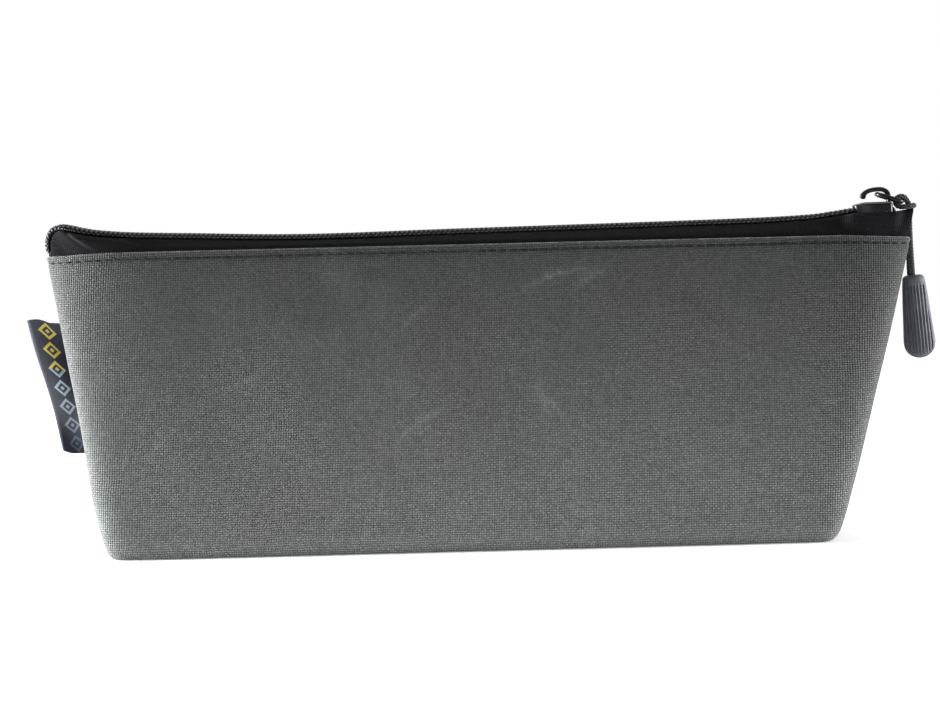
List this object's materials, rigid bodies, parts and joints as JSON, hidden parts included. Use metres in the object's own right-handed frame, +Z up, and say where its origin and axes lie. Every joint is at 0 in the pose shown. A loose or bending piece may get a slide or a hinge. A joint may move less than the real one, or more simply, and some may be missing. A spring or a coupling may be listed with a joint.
{
  "type": "pencil case",
  "caption": "Zip-top canvas pencil pouch standing on a boxed base, opened by a coil zip whose slider has a cord pull with a moulded grip.",
  "frame": {"origin": "centre of the base, on the surface the pouch stands on", "axes": "+X along the zip towards the end where the slider parks, -Y is the front face, +Z up"},
  "size_m": [0.2403, 0.044, 0.0903],
  "materials": {
    "canvas": "coated plain-weave canvas, matt with waxy creases",
    "zip_tape": "woven polyester tape",
    "zip_coil": "semi-gloss nylon coil",
    "thread": "sewing thread",
    "slider_metal": "black electro-coated zinc",
    "ring_metal": "black coated wire",
    "cord": "braided cord",
    "grip": "moulded ribbed rubber",
    "label": "woven ribbon with a geometric pattern",
    "binding": "grosgrain binding tape"
  },
  "bodies": {
    "pouch": {"base_panel": "canvas", "left_gusset_front": "canvas", "left_gusset_back": "canvas", "right_gusset_front": "canvas", "right_gusset_back": "canvas", "left_seam_binding": "binding", "right_seam_binding": "binding", "left_corner_binding": "binding", "right_corner_binding": "binding", "woven_label": "label"},
    "front_half": {"front_panel": "canvas", "front_topstitch": "thread", "front_tape": "zip_tape", "front_coil": "zip_coil"},
    "back_half": {"back_panel": "canvas", "back_topstitch": "thread", "back_tape": "zip_tape", "back_coil": "zip_coil"},
    "slider": {"slider_body": "slider_metal", "slider_crown": "slider_metal"},
    "ring": {"pull_ring": "ring_metal"},
    "cord": {"pull_cord": "cord"},
    "grip": {"pull_grip": "grip"}
  },
  "joints": [
    {"name": "slider_travel", "type": "slide", "parent": "pouch", "child": "slider", "axis": [-1, 0, 0.0054], "range_m": [0, 0.204]},
    {"name": "front_open", "type": "hinge", "parent": "pouch", "child": "front_half", "pos_m": [0, -0.02153, 0.0026], "axis": [1, 0, 0], "range_deg": [0, 12], "deforming": ["front_tape", "front_coil"]},
    {"name": "back_open", "type": "hinge", "parent": "pouch", "child": "back_half", "pos_m": [0, 0.02153, 0.0026], "axis": [-1, 0, 0], "range_deg": [0, 12], "deforming": ["back_tape", "back_coil"]},
    {"name": "ring_swing", "type": "hinge", "parent": "slider", "child": "ring", "pos_m": [0.1086, 0, 0.0884], "axis": [0, -1, 0], "range_deg": [0, 165]},
    {"name": "cord_swing", "type": "hinge", "parent": "ring", "child": "cord", "pos_m": [0.1149, 0, 0.0864], "axis": [0, -1, 0], "range_deg": [0, 100]},
    {"name": "grip_sway", "type": "hinge", "parent": "cord", "child": "grip", "pos_m": [0.1172, 0.0039, 0.067], "axis": [1, 0, 0], "range_deg": [-30, 30]}
  ],
  "couplings": [
    {"joint": "front_open", "follows": "slider_travel", "rad_per_m": 1.02},
    {"joint": "back_open", "follows": "slider_travel", "rad_per_m": 1.02}
  ]
}
